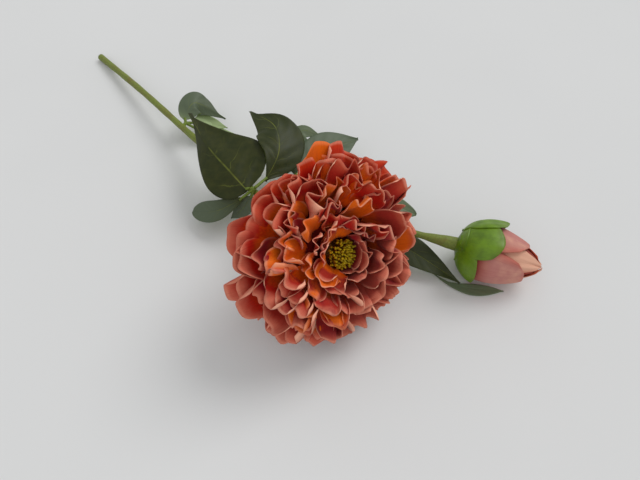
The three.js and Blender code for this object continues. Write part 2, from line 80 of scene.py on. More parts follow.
# Azimuths at which petals grow longer or shorter, and by what share of their length.
LONG_SIDES = [
    (0.95, 0.13), (1.9, 0.04), (2.65, -0.12), (3.1, -0.09), (3.65, 0.12), (4.5, 0.05), (5.4, -0.09),
]

# The side that the whorls from HEART_FROM on lean to, how far, and how much more past CALM_FROM.
HEART_SIDE = 3.3
HEART_LEAN = 28
HEART_FROM = 4
HEART_MORE = 4

# The whorls past CALM_FROM are less ruffled and twisted than the ones before.
CALM_FROM = 4.5
CALM = 0.5

# The middle of the side on which petals are salmon, twisted or ruffled.
SALMON_SIDE = 5.7
TWISTED_SIDE = 3.8
RUFFLED_SIDE = 1.6

# Guard petals near AMBER_SIDE, by the cosine of the angle to it, are amber all over.
AMBER_SIDE = 1.8
AMBER_COSINE = 0.93
ALL_AMBER = 2

# Smaller petals between the whorls. From the whorl SPARSE_FROM on, the share SPARSE is left out.
FILLER_WHORLS = 5
FILLER_LENGTH = 0.94
FILLER_WIDTH = 0.95
SPARSE_FROM = 2
SPARSE = 0.35

# Small petals on the side that the heart leans to, which start higher than the last whorl.
HEART_PETALS = 7
HEART_SPACING = 0.45
HEART_RISE = 10.5

# How far the edge of a petal rolls in, and how far its end turns aside and bends back.
STRONG_ROLL = (100, 150)
PLAIN_ROLL = 40
SLIGHT_ROLL = 30
SKEW = 16
TWISTED_SKEW = 50
BACK_ROLL = (10, 70)
RUFFLED_BACK_ROLL = (-60, 30)

# The stamens, and how far the small heart petals and all others stay out of them.
STAMEN_SEAT = 21
STAMEN_GAP = 0.3
STAMEN_TOP = 40
STAMEN_RADIUS = 9
STAMEN_COUNT = 110
STAMEN_DOME = [(0, 0), (7.4, 0), (7, 3.5), (4, 5.6), (0, 6.4)]
GOLDEN_ANGLE = 2.39996
FILAMENT_RADIUS = 0.24
ANTHER_LENGTH = 2.7
ANTHER_RADIUS = 0.72
HEART_ROOM = 0.5
PETAL_ROOM = 1.8

CALYX_SEPALS = 5
CALYX_KNOB = [
    (0, -13), (3.7, -13), (3.9, -12.6), (5, -9), (6.6, -6), (8.5, -3.5), (10.5, -0.2), (0, 0.1),
]

# ---- The stem and its side shoot, with the paths and radii of the solids ----

STEM_POINTS = [
    (-171.5, 146.6, 2.4), (-124, 92.5, 11), (-80, 39, 19.5), (-26, -26, 29.5), (2, -58, 31.5),
    (18, -79, 36),
]
STEM_RADIUS = (2.7, 2.3)
SHOOT_POINTS = [
    (-14, -40, 30.5), (4, -46, 26), (32, -47, 22), (62, -53, 22), (88, -62.5, 23), (118.3, -69.4, 19.3),
]
SHOOT_RADIUS = (1.9, 2.4)
SHOOT_END_RADIUS = 4.8
NECK_PLACE = 0.8
KNOB_HEIGHT = 0.12

# ---- The leaves, with the paths and outlines of the solids ----

PLAIN_ENDS = ((1.1, 1.1), (1.1, 1.1))
LEAF_WAVE = 0.07
LEAF_STALK_RADIUS = (1.6, 1.3)
LEAFLET_STALK_RADIUS = (1.2, 0.9)
LEAFLET_STALK_REACH = 0.12
# Stalks take a tone near pale: painted sheen and light shining through.
STALK_MARKS = dict(tone=0.9, across=0.6)


def leaflet(path, face, halves, lifts, widest, tone, ends=PLAIN_ENDS):
    """A leaflet, as in the solids. tone goes from its base to its tip: 0 is dark, the middle values are
    painted greyish sheen and 1 is pale with painted sheen and light shining through.
    """
    return dict(path=path, face=face, halves=halves, lifts=lifts, widest=widest, tone=tone, ends=ends)


# node: hold, joint, leaflets
LEAVES = {
    "leaf_front": ((-23, -29.6, 30), (-20, -34, 36), [
        leaflet([(-24.7, -35.6, 35), (-36.4, -23.7, 40), (-54.8, 0.8, 40), (-74.3, 42.7, 33)],
                (-0.1, -0.5, 0.86), (19.5, 29.6), (-14, -26), (0.22, 0.26), (0, 0),
                ((1.1, 1.9), (0.92, 1.46))),
        leaflet([(-13, -27, 35), (-4, -5.9, 43), (-7.5, 14.7, 47), (-26.6, 32.7, 44)],
                (0.1, -0.5, 0.86), (15.5, 18.5), (4, -22), (0.55, 0.45), (0, 0.1),
                ((1.1, 1.1), (1.2, 2.2))),
        leaflet([(-28, -39, 31), (-48, -41.5, 20), (-67, -33.5, 9)],
                (-0.1, -0.5, 0.86), (7.5, 8), (6, 10), (0.6, 0.6), (0, 0.4), ((0.5, 0.5), (0.5, 0.5))),
        leaflet([(-22, -36.5, 31), (-29, -41, 22), (-38.4, -41, 11)],
                (0.1, -0.6, 0.8), (6, 6), (6, 6), (0.4, 0.4), (0.5, 0.4)),
    ]),
    "leaf_lower": ((-82, 41.4, 19), (-80.5, 47.5, 18), [
        leaflet([(-82, 50, 19), (-75, 61, 26), (-67, 64, 20.5), (-51.3, 60, 10)],
                (0, -0.5, 0.86), (10, 10), (-20, -10), (0.38, 0.35), (0.7, 0.35),
                ((0.6, 2.4), (1.1, 1.1))),
        leaflet([(-76, 51, 15), (-64, 56, 9), (-49.6, 54, 6)],
                (0, -0.4, 0.9), (7, 6), (4, 4), (0.35, 0.35), (0.75, 0.85)),
        leaflet([(-75, 47, 13), (-58, 47.5, 4), (-37.7, 46.9, 2.5)],
                (0, -0.2, 0.98), (10, 6), (4, 4), (0.35, 0.35), (0.85, 0.85)),
    ]),
    "leaf_upper": ((-4.5, -49.8, 31.6), (10, -18, 24), [
        leaflet([(8, -14, 25), (4, 8, 29), (12, 24, 33), (26, 22, 29)],
                (0, -0.3, 0.95), (8, 10), (-6, -14), (0.45, 0.5), (0.1, 0.6)),
        leaflet([(12, -12, 24), (30, 10, 26), (54.1, 28.1, 20)],
                (0, -0.4, 0.9), (16, 15), (4, -16), (0.45, 0.45), (0.45, 0.5)),
        leaflet([(18, -22, 24), (50, -26, 26), (92.7, -42.5, 17)],
                (0, -0.2, 0.98), (10, 10), (6, 6), (0.4, 0.4), (0.4, 0.6),
                ((1.1, 0.5), (1.1, 0.5))),
    ]),
    "leaf_bud": ((58, -52, 21.9), (63, -53, 16), [
        leaflet([(68, -57, 13), (88, -70, 12), (103, -79.5, 8.5), (119.6, -90.4, 3.5)],
                (0, -0.3, 0.95), (10, 10), (10, 6), (0.35, 0.35), (0.5, 0.1)),
        leaflet([(70, -56, 11), (92, -73, 5), (114, -89.5, 1.3), (149, -95, 0.8)],
                (0, -0.1, 1), (3.5, 5.5), (4, 4), (0.78, 0.78), (0.2, 0.6), ((3, 1.1), (3, 1.1))),
    ]),
}

# ---- The bud, with the places and outlines of the solids ----

BUD_BASE = (117.8, -69.2, 19.3)
BUD_AXIS = (52.3, -17.9, -1)
BUD_LENGTH = 58
BUD_RADIUS = 19
BUD_CORE_DEPTH = 3
BUD_FOOT_STAND = 2.2

# azimuth, spread, from, to, close, free, round
BUD_PETALS = [
    (250, 64, 7, 46, -0.6, 1.0, 0.16),
    (10, 64, 7, 50, -0.6, 1.0, 0.14),
    (130, 64, 7, 45, -0.6, 1.0, 0.18),
    (310, 48, 16, 57, -1.9, -1.2, 0.08),
    (70, 48, 16, 56, -1.9, -1.2, 0.1),
    (190, 48, 16, 56, -1.9, -1.2, 0.1),
]
OUTER_BUD_PETALS = 3
BUD_SEPALS = [
    (176, 41, 0, 28, 1.9, 2.6, 0.2),
    (106, 48, 0, 29, 2.4, 3.2, 0.1),
    (258, 56, 0, 16, 2.1, 2.6, 0.12),
    (20, 54, 0, 27, 2.0, 2.4, 0.3),
]
SEPAL_RIPPLES = (0.4, 0.8, 0.4, 0.4)
BUD_PETAL_RIPPLE = 0.9

# ---- Thickness and grid, across and along, of each kind of blade ----

PETAL_THICKNESS = 0.5
PETAL_GRID = (19, 16)
BUD_PETAL_THICKNESS = 0.55
BUD_PETAL_GRID = (31, 33)
SEPAL_THICKNESS = 0.8
CALYX_SEPAL_GRID = (15, 19)
BUD_SEPAL_GRID = (27, 27)
LEAF_THICKNESS = 0.6
LEAF_GRID = (29, 45)
EDGE_SHARE = 0.45
EDGE_WIDTH = 0.15

# ---- Floor, light and camera, in metres ----

FLOOR_HALF = 4
WORLD_STRENGTH = 0.57
# name, direction that the light comes from, strength, angular size
LAMPS = [("key", (0.68, 0.5, 0.9), 1.14, 32), ("fill", (-0.2, -0.7, 0.9), 0.2, 60)]
CAMERA_PLACE = (0.025, -0.307, 0.364)
CAMERA_PITCH = 55
CAMERA_LENS = 34.875
SENSOR_WIDTH = 36

# ---- Small helpers ----


def draw(i, k):
    """A repeatable draw from 0 to 1 for item i and channel k."""
    s = math.sin(i * 12.9898 + k * 78.233) * 43758.5453
    return s - math.floor(s)


def jitter(i, k):
    """A repeatable draw from -1 to 1."""
    return 2 * draw(i, k) - 1


def between(ends, share):
    return ends[0] + (ends[1] - ends[0]) * share


def smooth(x):
    x = np.clip(x, 0, 1)
    return x * x * (3 - 2 * x)


def unit(vectors):
    return vectors / np.maximum(np.linalg.norm(vectors, axis=-1, keepdims=True), 1e-9)


def axis_matrix(base, axis):
    """The turn from +Z to the axis and the move to the base, as a 3x3 array and a vector."""
    turn = Vector((0, 0, 1)).rotation_difference(Vector(axis).normalized()).to_matrix()
    return np.array(turn), np.array(base, float)


def placed(points, place):
    turn, base = place
    return points @ turn.T + base


def pressed(points):
    """Soft contact with the surface: heights fade out towards it and never go through it."""
    z = points[..., 2]
    room = PRESS_HEIGHT - REST_LEVEL
    low = REST_LEVEL + room * np.exp((np.minimum(z, PRESS_HEIGHT) - PRESS_HEIGHT) / room)
    points[..., 2] = np.where(z < PRESS_HEIGHT, low, z)
    return points


BLOOM = axis_matrix(BLOOM_BASE, BLOOM_AXIS)
BUD = axis_matrix(BUD_BASE, BUD_AXIS)

# ---- Meshes ----


def ring_angles(sides):
    return np.linspace(0, 2 * math.pi, sides, endpoint=False)


def ring_quads(rows, sides):
    """The numbers of the points in rows of closed rings, and the quads between the rows."""
    at = np.arange(rows * sides).reshape(rows, sides)
    after = np.roll(at, -1, axis=1)
    quads = np.stack([at[:-1], after[:-1], after[1:], at[1:]], axis=-1).reshape(-1, 4)
    return at, after, quads


class Heap:
    """Grids and tubes that become one mesh, with values at each vertex for the materials.

    across goes from -1 to 1 and along from 0 to 1. outer is 1 on the back of a petal or sepal and
    on the top of a leaf. The other values say which of a material's colours a petal or leaf has.
    """

    CHANNELS = ("across", "along", "outer", "lot", "tone", "heart", "pale", "stain")

    def __init__(self):
        self.points = []
        self.faces = []
        self.values = {name: [] for name in self.CHANNELS}
        self.count = 0

    def add(self, points, faces, **values):
        points = np.array(points, float).reshape(-1, 3)
        points[:, 2] = np.maximum(points[:, 2], 0)
        self.points.append(points)
        self.faces.append(np.asarray(faces, int) + self.count)
        for name in self.CHANNELS:
            value = np.asarray(values.get(name, 0.0), float)
            self.values[name].append(np.broadcast_to(value.reshape(-1), (len(points),)))
        self.count += len(points)

    def add_blade(self, mid, u, v, thickness, **values):
        """A closed blade about the grid of mid points, thinner towards its edge."""
        normal = unit(np.cross(np.gradient(mid, axis=1), np.gradient(mid, axis=0)))
        inset = np.minimum(1 - np.abs(u), 2 * (1 - v))
        share = EDGE_SHARE + (1 - EDGE_SHARE) * smooth(inset / EDGE_WIDTH)
        half = 0.5 * thickness * share[..., None]
        layers = np.stack([mid + normal * half, mid - normal * half])
        n = u.size
        at = np.arange(n).reshape(u.shape)
        corners = [at[:-1, :-1], at[:-1, 1:], at[1:, 1:], at[1:, :-1]]
        quads = np.stack(corners, axis=-1).reshape(-1, 4)
        rim = np.concatenate([at[0, :], at[1:, -1], at[-1, -2::-1], at[-2:0:-1, 0]])
        after = np.roll(rim, -1)
        walls = np.stack([rim, rim + n, after + n, after], axis=-1)
        faces = np.concatenate([quads, quads[:, ::-1] + n, walls])
        values.update(across=u, along=v)
        both = {
            name: np.tile(np.broadcast_to(value, u.shape).reshape(-1), 2)
            for name, value in values.items()
        }
        self.add(layers, faces, outer=np.repeat([1.0, 0.0], n), **both)

    def add_tube(self, path, radius, sides=12, **values):
        """A round tube through the points of path. radius is one for each point."""
        path = np.asarray(path, float)
        rows = len(path)
        radius = np.broadcast_to(np.asarray(radius, float), (rows,))
        tangent = unit(np.gradient(path, axis=0))
        side = unit(np.cross((0.01, 0.02, 1.0), tangent))
        up = np.cross(tangent, side)
        angle = ring_angles(sides)[None, :, None]
        ring = side[:, None] * np.cos(angle) + up[:, None] * np.sin(angle)
        points = path[:, None] + ring * radius[:, None, None]
        at, after, quads = ring_quads(rows, sides)
        first, last = rows * sides, rows * sides + 1
        caps = [(first, b, a, a) for a, b in zip(at[0], after[0])]
        caps += [(last, a, b, b) for a, b in zip(at[-1], after[-1])]
        points = np.concatenate([points.reshape(-1, 3), path[:1], path[-1:]])
        along = np.repeat(np.linspace(0, 1, rows), sides)
        values["along"] = np.concatenate([along, [0, 1]])
        self.add(points, np.concatenate([quads, np.array(caps)]), **values)

    def add_turned(self, profile, place, sides=48, **values):
        """A shape turned about the local Z axis. The profile starts and ends on the axis."""
        profile = np.asarray(profile, float)
        rows = len(profile)
        angle = ring_angles(sides)
        r, z = profile[:, :1], profile[:, 1:]
        points = np.stack([r * np.cos(angle), r * np.sin(angle), z + 0 * angle], axis=-1)
        quads = ring_quads(rows, sides)[2]
        values.setdefault("along", np.repeat(np.linspace(0, 1, rows), sides))
        self.add(placed(points, place), quads, **values)


def make_piece(heap, name, node, material):
    """One object from a heap, in metres, that stands for a node of the solids."""
    mesh = bpy.data.meshes.new(name)
    faces = [tuple(dict.fromkeys(face)) for group in heap.faces for face in group.tolist()]
    mesh.from_pydata((np.concatenate(heap.points) * 0.001).tolist(), [], faces)
    for channel, values in heap.values.items():
        attribute = mesh.attributes.new(channel, "FLOAT", "POINT")
        attribute.data.foreach_set("value", np.concatenate(values).astype(np.float32))
    mesh.validate()
    mesh.polygons.foreach_set("use_smooth", np.ones(len(mesh.polygons), bool))
    mesh.materials.append(material)
    piece = bpy.data.objects.new(name, mesh)
    bpy.context.scene.collection.objects.link(piece)
    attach(piece, "root")
    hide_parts(node)


def grid(across, down):
    """u from -1 to 1 across a blade and v from 0 to 1 along it."""
    v, u = np.meshgrid(np.linspace(0, 1, down), np.linspace(-1, 1, across), indexing="ij")
    return u, v


def curve_points(points, count):
    """A centripetal Catmull-Rom curve through the points, evenly spaced along its length."""
    p = np.asarray(points, float)
    p = np.concatenate([[2 * p[0] - p[1]], p, [2 * p[-1] - p[-2]]])
    dense = []
    for a, b, c, d in zip(p[:-3], p[1:-2], p[2:-1], p[3:]):
        t0, t1, t2 = (math.sqrt(np.linalg.norm(y - x)) for x, y in ((a, b), (b, c), (c, d)))
        start = ((b - a) / t0 - (c - a) / (t0 + t1) + (c - b) / t1) * t1
        end = ((c - b) / t1 - (d - b) / (t1 + t2) + (d - c) / t2) * t1
        t = np.linspace(0, 1, 60)[:, None]
        dense.append(
            (2 * t**3 - 3 * t**2 + 1) * b + (t**3 - 2 * t**2 + t) * start
            + (3 * t**2 - 2 * t**3) * c + (t**3 - t**2) * end
        )
    dense = np.concatenate(dense)
    length = np.concatenate([[0], np.cumsum(np.linalg.norm(np.diff(dense, axis=0), axis=1))])
    at = np.linspace(0, length[-1], count)
    return np.stack([np.interp(at, length, dense[:, k]) for k in range(3)], axis=-1)


# ---- Colours ----


def rgb(*screen):
    """A colour as seen on a screen, 0 to 255, as linear light."""
    linear = (((c / 255 + 0.055) / 1.055) ** 2.4 if c > 10 else c / 255 / 12.92 for c in screen)
    return (*linear, 1.0)


# Each pair is for the ends of a range over the petals: lot for middle and back, tone for body and
# pale for tip. The two roots are for the dark base of a petal and for what follows it. In the bloom
# the dark base is painted shade for the deep gaps between petals, over their own deeper red base.
BLOOM_COLOURS = dict(
    root=(rgb(56, 3, 3), rgb(104, 8, 6)),
    # middle: the petals' own orange, brightened as painted glow of light shining through them.
    middle=(rgb(248, 110, 4), rgb(180, 26, 6)),
    body=(rgb(184, 24, 6), rgb(160, 64, 52)),
    tip=(rgb(198, 58, 12), rgb(222, 128, 102)),
    back=(rgb(188, 54, 28), rgb(106, 18, 24)),
    # edge: the paler back where edges curl over, paler still as painted highlight.
    edge=rgb(255, 186, 156),
)
AMBER_STAIN = rgb(240, 112, 6)
# Wine red: painted shade, the colour of shaded inner petal faces put on a share of the petals.
WINE_SHADE = rgb(124, 22, 42)
BUD_COLOURS = dict(
    root=(rgb(120, 30, 20), rgb(150, 60, 50)),
    middle=(rgb(200, 66, 24), rgb(196, 60, 30)),
    body=(rgb(206, 70, 34), rgb(200, 80, 50)),
    tip=(rgb(204, 80, 40), rgb(206, 110, 80)),
    back=(rgb(190, 126, 118), rgb(224, 172, 146)),
    edge=rgb(196, 84, 50),
)
LEAF_COLOURS = dict(
    dark=(rgb(38, 46, 10), rgb(56, 60, 20)),
    # Greyish: painted sheen, the reflection of light on the satin leaves.
    sheen_grey=rgb(92, 104, 82),
    # Pale: painted sheen and painted light shining through thin leaves.
    pale=rgb(176, 196, 140),
    under=rgb(96, 124, 50),
    vein=rgb(124, 132, 50),
)
STAMEN_COLOURS = dict(
    filament=(rgb(90, 22, 18), rgb(170, 110, 20)),
    anther=(rgb(208, 178, 10), rgb(148, 130, 12)),
    grain=rgb(90, 60, 10),
)

# light, dark, flush
STEM_COLOURS = (rgb(120, 134, 48), rgb(92, 102, 36), rgb(112, 90, 40))
CALYX_COLOURS = (rgb(96, 122, 40), rgb(62, 84, 30), rgb(120, 92, 60))
BUD_SEPAL_COLOURS = (rgb(110, 148, 10), rgb(78, 110, 6), rgb(88, 96, 18))
FLOOR_COLOURS = (rgb(226, 227, 227), rgb(221, 222, 222))

# ---- Materials ----

NOISE_ROUGHNESS = 0.55
SHEEN_ROUGHNESS = 0.5
COAT_ROUGHNESS = 0.4

# The stretches of a petal, from 0 at its root to 1 at its end, over which it changes colour.
# ROOT_FADE ends the dark root, which is painted shade for the gaps between petals.
ROOT_FADE = (0.05, 0.25)
# MIDDLE_FADE brings in the bright middle, which is partly painted glow.
MIDDLE_FADE = (0.18, 0.4)
BODY_FADE = (0.5, 0.85)
END_FADE = (0.76, 0.97)
# REAR_FADE ends the dark root on the back, painted shade as well.
REAR_FADE = (0.15, 0.5)
STAIN_AND_SHADE_RISE = (0.2, 0.4)
STAIN_AND_SHADE_FALL = (0.55, 0.8)

# The values at which a petal turns amber, grows amber to its end, and turns wine red with painted
# shade.
AMBER_FADE = (0.62, 0.75)
ALL_AMBER_FADE = (1.3, 1.5)
WINE_BELOW = 0.36
WINE_FADE = (0, 0.12)

# How much of the last colour is mixed in.
END_SHARE = 0.75
AMBER_SHARE = 0.85
WINE_SHARE = 0.6
STRAND_SHARE = 0.2

VEIN_PAIRS = 5.5
VEIN_SLANT = 0.22
VEIN_SHARE = 0.75


class Look:
    """A material that is put together from nodes in short steps."""

    def __init__(self, name, roughness, specular, sheen=0.0, coat=0.0):
        self.material = bpy.data.materials.new(name)
        self.material.use_nodes = True
        self.tree = self.material.node_tree
        self.shader = self.tree.nodes["Principled BSDF"]
        self.shader.inputs["Roughness"].default_value = roughness
        self.shader.inputs["Sheen Weight"].default_value = sheen
        self.shader.inputs["Sheen Roughness"].default_value = SHEEN_ROUGHNESS
        self.shader.inputs["Specular IOR Level"].default_value = specular
        self.shader.inputs["Coat Weight"].default_value = coat
        self.shader.inputs["Coat Roughness"].default_value = COAT_ROUGHNESS

    def put(self, socket, value):
        if isinstance(value, bpy.types.NodeSocket):
            self.tree.links.new(value, socket)
        else:
            socket.default_value = value

    def value(self, name):
        """One of the Heap's channels."""
        node = self.tree.nodes.new("ShaderNodeAttribute")
        node.attribute_name = name
        return node.outputs["Fac"]

    def math(self, operation, a, b=0.0):
        node = self.tree.nodes.new("ShaderNodeMath")
        node.operation = operation
        self.put(node.inputs[0], a)
        self.put(node.inputs[1], b)
        return node.outputs[0]

    def plus(self, a, b):
        return self.math("ADD", a, b)

    def minus(self, a, b):
        return self.math("SUBTRACT", a, b)

    def times(self, a, b):
        return self.math("MULTIPLY", a, b)

    def larger(self, a, b):
        return self.math("MAXIMUM", a, b)

    def size(self, a):
        """How far a is from 0."""
        return self.math("ABSOLUTE", a)

    def ramp(self, factor, low, high):
        """0 below low and 1 above high, with a smooth step between."""
        node = self.tree.nodes.new("ShaderNodeMapRange")
        node.interpolation_type = "SMOOTHSTEP"
        self.put(node.inputs["Value"], factor)
        node.inputs["From Min"].default_value = low
        node.inputs["From Max"].default_value = high
        return node.outputs["Result"]

    def mix(self, factor, a, b):
        """a where the factor is 0 and b where it is 1."""
        node = self.tree.nodes.new("ShaderNodeMix")
        node.data_type = "RGBA"
        self.put(node.inputs["Factor"], factor)
        self.put(node.inputs["A"], a)
        self.put(node.inputs["B"], b)
        return node.outputs["Result"]

    def vector(self, x, y, z):
        node = self.tree.nodes.new("ShaderNodeCombineXYZ")
        for socket, value in zip(node.inputs, (x, y, z)):
            self.put(socket, value)
        return node.outputs[0]

    def place(self):
        """The place on the part, in millimetres."""
        coordinates = self.tree.nodes.new("ShaderNodeTexCoord")
        node = self.tree.nodes.new("ShaderNodeVectorMath")
        node.operation = "SCALE"
        self.put(node.inputs[0], coordinates.outputs["Object"])
        node.inputs["Scale"].default_value = 1000
        return node.outputs[0]

    def noise(self, where, scale, detail=3.0):
        node = self.tree.nodes.new("ShaderNodeTexNoise")
        self.put(node.inputs["Vector"], where)
        node.inputs["Scale"].default_value = scale
        node.inputs["Detail"].default_value = detail
        node.inputs["Roughness"].default_value = NOISE_ROUGHNESS
        return node.outputs["Fac"]

    def colour(self, value):
        self.put(self.shader.inputs["Base Color"], value)

    def rough(self, value, low, high):
        """Roughness from low to high as value goes from 0 to 1."""
        spread = self.math("MULTIPLY_ADD", value, high - low)
        spread.node.inputs[2].default_value = low
        self.put(self.shader.inputs["Roughness"], spread)

    def bump(self, height, distance, strength):
        node = self.tree.nodes.new("ShaderNodeBump")
        node.inputs["Strength"].default_value = strength
        node.inputs["Distance"].default_value = distance * 0.001
        self.put(node.inputs["Height"], height)
        self.put(self.shader.inputs["Normal"], node.outputs["Normal"])


def petal_face(look, marks, colours, sway):
    """The inner side of petals: a dark root, a bright middle, a body and a soft end. The dark root is
    painted shade for the gaps, and the bright middle is partly painted glow.
    """
    along, lot, tone, heart = (marks[k] for k in ("along", "lot", "tone", "heart"))
    fade = look.plus(look.plus(along, sway), look.times(tone, 0.15))
    fade = look.plus(fade, look.times(heart, 0.25))
    # Dark root: painted shade for the deep gaps between petals, over the petals' deeper red base.
    face = look.mix(look.ramp(fade, *ROOT_FADE), *colours["root"])
    vivid = look.minus(look.plus(lot, look.times(heart, 0.7)), look.ramp(tone, 0.6, 1))
    # Bright middle: the petals' own orange, brightened as painted glow of light shining through them.
    bright, dull = colours["middle"]
    glow = look.mix(look.ramp(vivid, 0.3, 0.6), dull, bright)
    face = look.mix(look.ramp(fade, *MIDDLE_FADE), face, glow)
    face = look.mix(look.ramp(fade, *BODY_FADE), face, look.mix(tone, *colours["body"]))
    end = look.ramp(look.plus(along, look.times(sway, 0.4)), *END_FADE)
    return look.mix(look.times(end, END_SHARE), face, look.mix(marks["pale"], *colours["tip"]))


def petal_rear(look, marks, colours, blotch):
    """The outer side of petals, which is duller, with a dark root of painted shade and paler sides on
    the inner petals that are partly painted highlight.
    """
    shade = look.plus(marks["lot"], look.times(look.minus(blotch, 0.5), 0.8))
    rear = look.mix(look.ramp(shade, 0.3, 0.8), *colours["back"])
    # Dark root on the back too: painted shade for the gaps between petals.
    rear = look.mix(look.ramp(marks["along"], *REAR_FADE), colours["root"][1], rear)
    # Paler sides: the paler back, with painted highlight on the curled strips.
    side = look.ramp(look.size(marks["across"]), 0.6, 0.9)
    return look.mix(look.times(side, look.ramp(marks["heart"], -0.3, 0.5)), rear, colours["edge"])


def petal_stains(look, marks, whole, sway):
    """Turns petals with a high value amber, their own colour, and paints wine red shade on ones with a
    low value.
    """
    along, heart = marks["along"], marks["heart"]
    stain = look.plus(marks["stain"], sway)
    reach = look.larger(heart, look.ramp(stain, *ALL_AMBER_FADE))
    reach = look.minus(along, look.times(reach, 0.5))
    rise = look.plus(along, look.times(look.math("POWER", heart, 4), 0.3))
    length = look.times(look.ramp(rise, *STAIN_AND_SHADE_RISE), look.minus(1, look.ramp(reach, *STAIN_AND_SHADE_FALL)))
    amber = look.times(look.ramp(stain, *AMBER_FADE), length)
    whole = look.mix(look.times(amber, AMBER_SHARE), whole, AMBER_STAIN)
    # Painted shade: wine red on petals with a low value.
    wine = look.times(look.ramp(look.minus(WINE_BELOW, stain), *WINE_FADE), length)
    return look.mix(look.times(wine, WINE_SHARE), whole, WINE_SHADE)


def petal_rim_highlight(look, marks):
    """How much of the pale edge a petal has, which is most at the heart: the paler back curling over,
    with painted highlight.
    """
    along, lot, tone, heart = (marks[k] for k in ("along", "lot", "tone", "heart"))
    side = look.ramp(look.size(marks["across"]), 0.84, 0.97)
    rim = look.times(look.larger(side, look.ramp(along, 0.93, 0.98)), look.ramp(along, 0.3, 0.7))
    rim = look.times(rim, look.plus(0.2, look.times(heart, 0.35)))
    return look.times(rim, look.minus(1.2, look.larger(look.times(tone, 0.7), lot)))


def petal_look(name, colours, stained):
    """Cloth petals with fine strands along them."""
    look = Look(name, 0.7, 0.12, sheen=0.05)
    marks = {channel: look.value(channel) for channel in Heap.CHANNELS}
    along, across, lot = marks["along"], marks["across"], marks["lot"]
    strands = look.noise(look.vector(look.times(across, 9), along, look.times(lot, 37)), 2.2)
    blotch = look.noise(look.place(), 0.09)
    sway = look.times(look.minus(blotch, 0.5), 0.5)
    face = petal_face(look, marks, colours, sway)
    whole = look.mix(marks["outer"], face, petal_rear(look, marks, colours, blotch))
    if stained:
        whole = petal_stains(look, marks, whole, sway)
    # Pale edge: the paler back where petals curl, and painted highlight.
    whole = look.mix(petal_rim_highlight(look, marks), whole, colours["edge"])
    dark = look.times(look.ramp(strands, 0.5, 0.75), STRAND_SHARE)
    look.colour(look.mix(dark, whole, colours["root"][1]))
    look.rough(strands, 0.55, 0.8)
    look.bump(strands, 0.35, 0.5)
    return look.material


def leaf_veins(look, along, across):
    """1 on a leaf's midrib and less on its pairs of curved side veins."""
    out = look.size(across)
    sweep = look.minus(look.times(along, VEIN_PAIRS), look.times(out, VEIN_SLANT * VEIN_PAIRS))
    sweep = look.plus(sweep, look.times(look.noise(look.place(), 0.12), 0.6))
    near = look.size(look.minus(look.math("FRACT", sweep), 0.5))
    side = look.minus(1.0, look.ramp(near, 0.01, 0.035))
    side = look.times(side, look.minus(1.0, look.ramp(out, 0.4, 0.85)))
    middle = look.minus(1.0, look.ramp(out, 0.01, 0.032))
    veins = look.larger(look.times(side, 0.4), middle)
    return look.times(veins, look.ramp(look.noise(look.place(), 0.05), 0.35, 0.65))


def leaf_look():
    """Satin leaves: tone takes them from dark over a painted greyish sheen to pale, which is painted
    sheen and light shining through the leaf.
    """
    look = Look("leaf_cloth", 0.42, 0.22)
    along, across, tone = (look.value(k) for k in ("along", "across", "tone"))
    veins = leaf_veins(look, along, across)
    mottle = look.noise(look.place(), 0.16, detail=4)
    body = look.mix(look.ramp(mottle, 0.25, 0.8), *LEAF_COLOURS["dark"])
    # Greyish and pale tones: painted sheen and light shining through the leaf.
    body = look.mix(look.ramp(tone, 0, 0.5), body, LEAF_COLOURS["sheen_grey"])
    body = look.mix(look.ramp(tone, 0.5, 1), body, LEAF_COLOURS["pale"])
    face = look.mix(look.times(veins, VEIN_SHARE), body, LEAF_COLOURS["vein"])
    under = look.mix(0.4, LEAF_COLOURS["under"], LEAF_COLOURS["vein"])
    look.colour(look.mix(look.value("outer"), under, face))
    look.rough(mottle, 0.36, 0.55)
    grain = look.noise(look.place(), 1.6, detail=2)
    look.bump(look.plus(look.times(veins, -0.6), look.times(grain, 0.25)), 0.4, 0.6)
    return look.material


def stalk_look(name, light, dark, flush):
    """Coated stems: olive green with brownish patches and small bumps."""
    look = Look(name, 0.45, 0.4)
    patches = look.noise(look.place(), 0.07, detail=4)
    specks = look.noise(look.place(), 0.9)
    body = look.mix(look.times(look.ramp(specks, 0.35, 0.7), 0.6), light, dark)
    look.colour(look.mix(look.times(look.ramp(patches, 0.45, 0.7), 0.6), body, flush))
    look.rough(specks, 0.36, 0.6)
    look.bump(specks, 0.5, 0.5)
    return look.material


def sepal_look(name, light, dark, flush):
    """Green sepals with dark lines along them and a flush at their ends."""
    look = Look(name, 0.45, 0.4, coat=0.1)
    along, across = look.value("along"), look.value("across")
    lines = look.noise(look.vector(look.times(across, 7), along, look.value("lot")), 2.0)
    blotch = look.noise(look.place(), 0.12)
    body = look.mix(look.ramp(blotch, 0.25, 0.85), light, dark)
    body = look.mix(look.times(look.ramp(lines, 0.5, 0.8), 0.35), body, dark)
    look.colour(look.mix(look.times(look.ramp(along, 0.75, 1.0), 0.35), body, flush))
    look.rough(blotch, 0.36, 0.55)
    look.bump(lines, 0.35, 0.5)
    return look.material


def stamen_look(name):
    """Filaments run from a maroon root to yellow, and anthers from olive to bright yellow."""
    look = Look(name, 0.6, 0.3)
    along, lot, tone = look.value("along"), look.value("lot"), look.value("tone")
    grains = look.noise(look.place(), 2.2)
    filament = look.mix(look.ramp(along, 0.2, 0.9), *STAMEN_COLOURS["filament"])
    anther = look.mix(lot, *STAMEN_COLOURS["anther"])
    anther = look.mix(look.times(look.ramp(grains, 0.5, 0.7), 0.5), anther, STAMEN_COLOURS["grain"])
    look.colour(look.mix(tone, filament, anther))
    look.rough(grains, 0.5, 0.75)
    look.bump(grains, 0.3, 0.6)
    return look.material


# ---- The bloom ----


